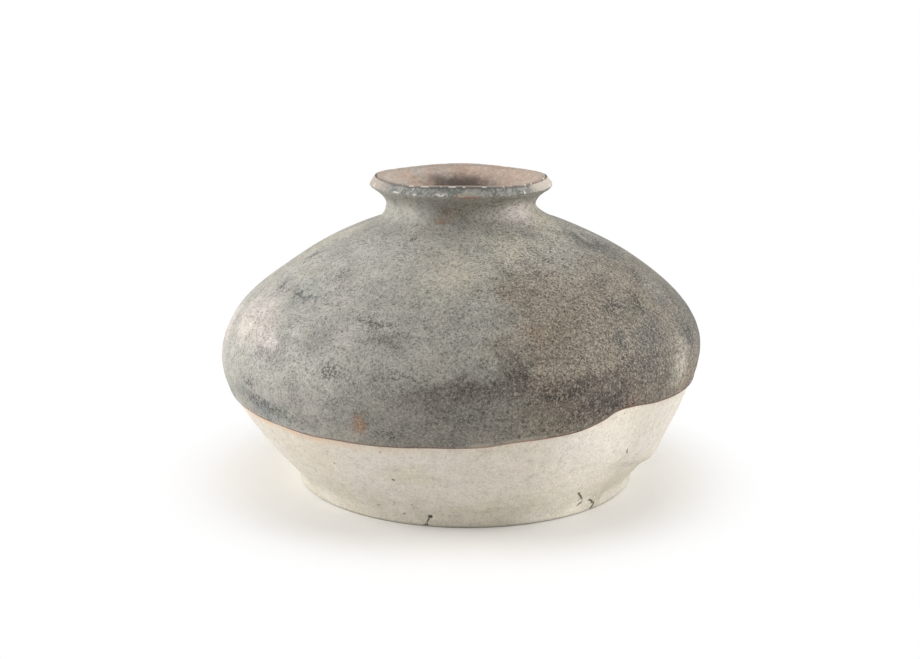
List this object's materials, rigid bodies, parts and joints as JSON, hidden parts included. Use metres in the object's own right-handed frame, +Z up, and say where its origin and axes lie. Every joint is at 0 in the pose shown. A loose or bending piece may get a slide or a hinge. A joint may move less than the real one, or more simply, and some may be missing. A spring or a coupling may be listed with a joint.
{
  "type": "stoneware jar",
  "caption": "Squat round-bellied stoneware jar with a short neck, dished mouth and bevelled lip, glazed above a wavy line and bare below.",
  "frame": {"origin": "on the floor plane, under the middle of the jar's bounding box, which is about the axis of the belly", "axes": "+Z up out of the mouth, -Y towards the viewer of the picture, +X to the viewer's right"},
  "size_m": [0.1826, 0.1816, 0.1166],
  "materials": {
    "stoneware": "matte",
    "seam_clay": "matte",
    "outer_glaze": "matte",
    "mouth_glaze": "matte"
  },
  "bodies": {
    "root": {"lower_body": "stoneware", "shoulder": "stoneware", "neck_and_mouth": "stoneware", "belly_seam_coil": "seam_clay", "neck_seam_coil": "seam_clay", "glaze_coat": "outer_glaze", "mouth_glaze": "mouth_glaze"}
  },
  "joints": []
}
